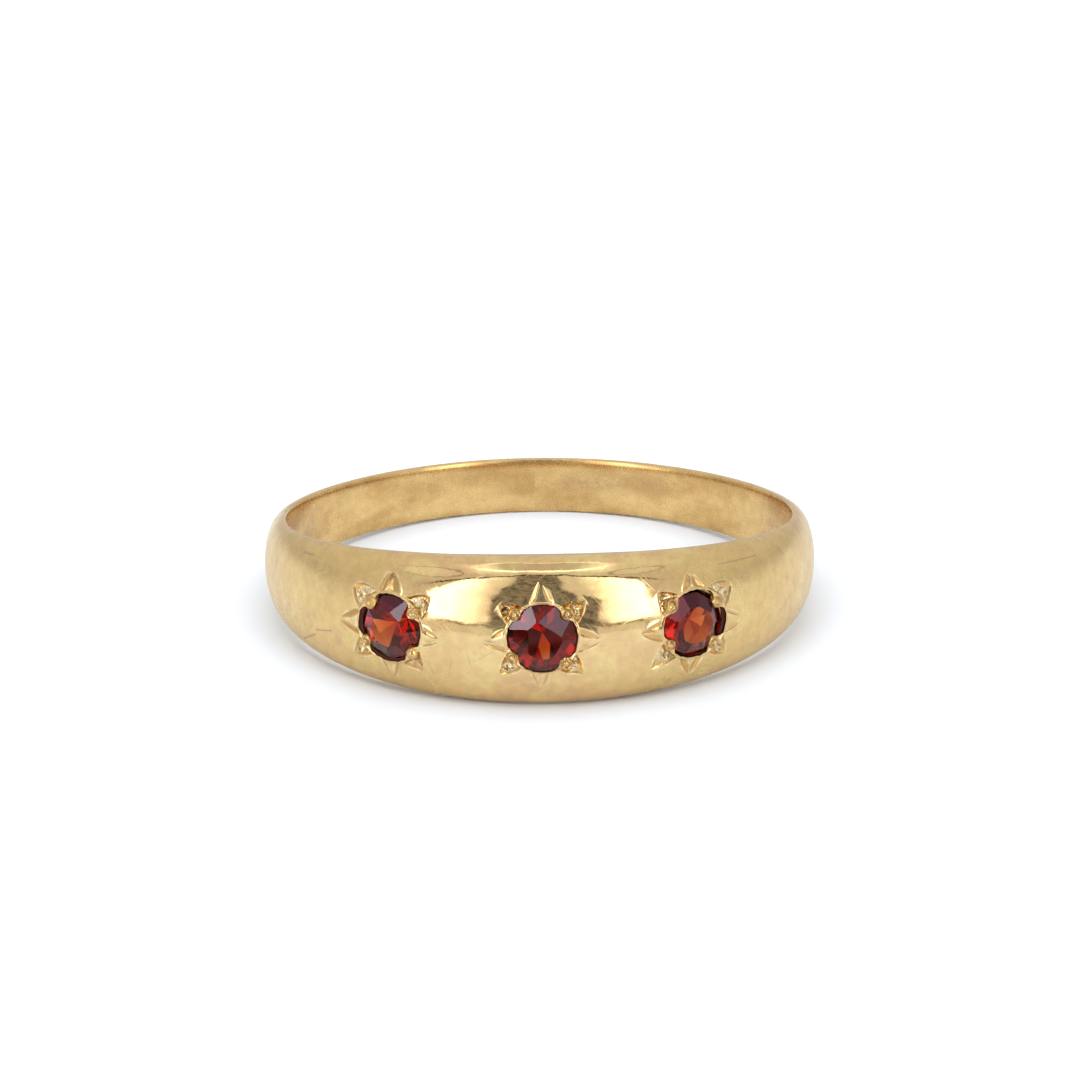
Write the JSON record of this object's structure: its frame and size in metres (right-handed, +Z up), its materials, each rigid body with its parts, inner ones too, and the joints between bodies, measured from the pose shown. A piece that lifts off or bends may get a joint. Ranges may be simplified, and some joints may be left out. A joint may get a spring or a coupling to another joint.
{
  "type": "three-stone ring",
  "caption": "Tapering domed gold finger ring with round garnets sunk in a row in engraved star settings.",
  "frame": {"origin": "on the surface the ring lies on, under the middle of its bounding box", "axes": "+Z up from the surface, -Y towards the head with the stones, X across the ring; the finger hole's axis leans 5.26 degrees from +Z towards +Y, as a tapering ring lies"},
  "size_m": [0.0196, 0.0204, 0.0054],
  "materials": {
    "gold": "pale yellow gold, polished head, worn satin shoulders with fine scratches",
    "garnet": "deep red-brown transparent garnet, polished facets"
  },
  "bodies": {
    "root": {"band": "gold", "stone_left": "garnet", "stone_centre": "garnet", "stone_right": "garnet"}
  },
  "joints": []
}
